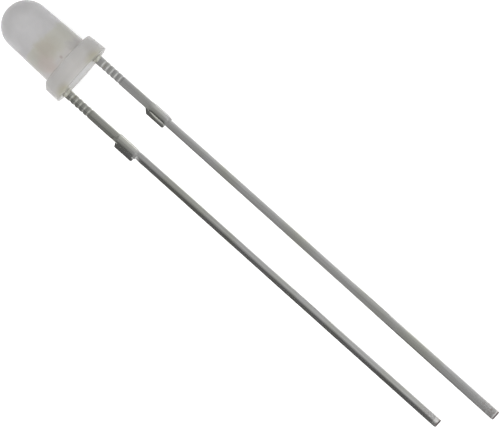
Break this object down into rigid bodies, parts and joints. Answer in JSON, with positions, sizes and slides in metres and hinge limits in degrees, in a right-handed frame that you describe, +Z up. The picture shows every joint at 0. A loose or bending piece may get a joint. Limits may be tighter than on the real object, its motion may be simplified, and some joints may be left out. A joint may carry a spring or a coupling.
{
  "type": "through hole led",
  "caption": "Small domed light emitting diode with a milky resin lens, a flanged base and two square leads with stand-off stops, lying on its flange and lead tips.",
  "frame": {"origin": "middle of the resting part's box seen from above, on the surface that it lies on", "axes": "+Z up; +X from the dome towards the lead tips, level with the surface; +Y towards the anode side"},
  "size_m": [0.0352, 0.004, 0.004],
  "materials": {
    "resin": "milky diffused epoxy, smooth as moulded",
    "plated_lead": "tin-plated steel, satin",
    "die": "semiconductor chip with sawn sides",
    "adhesive": "silver-filled adhesive",
    "gold": "drawn gold wire"
  },
  "bodies": {
    "root": {"lens": "resin", "anode_lead": "plated_lead", "cathode_lead": "plated_lead", "led_die": "die", "die_attach": "adhesive", "bond_wire": "gold"}
  },
  "joints": []
}
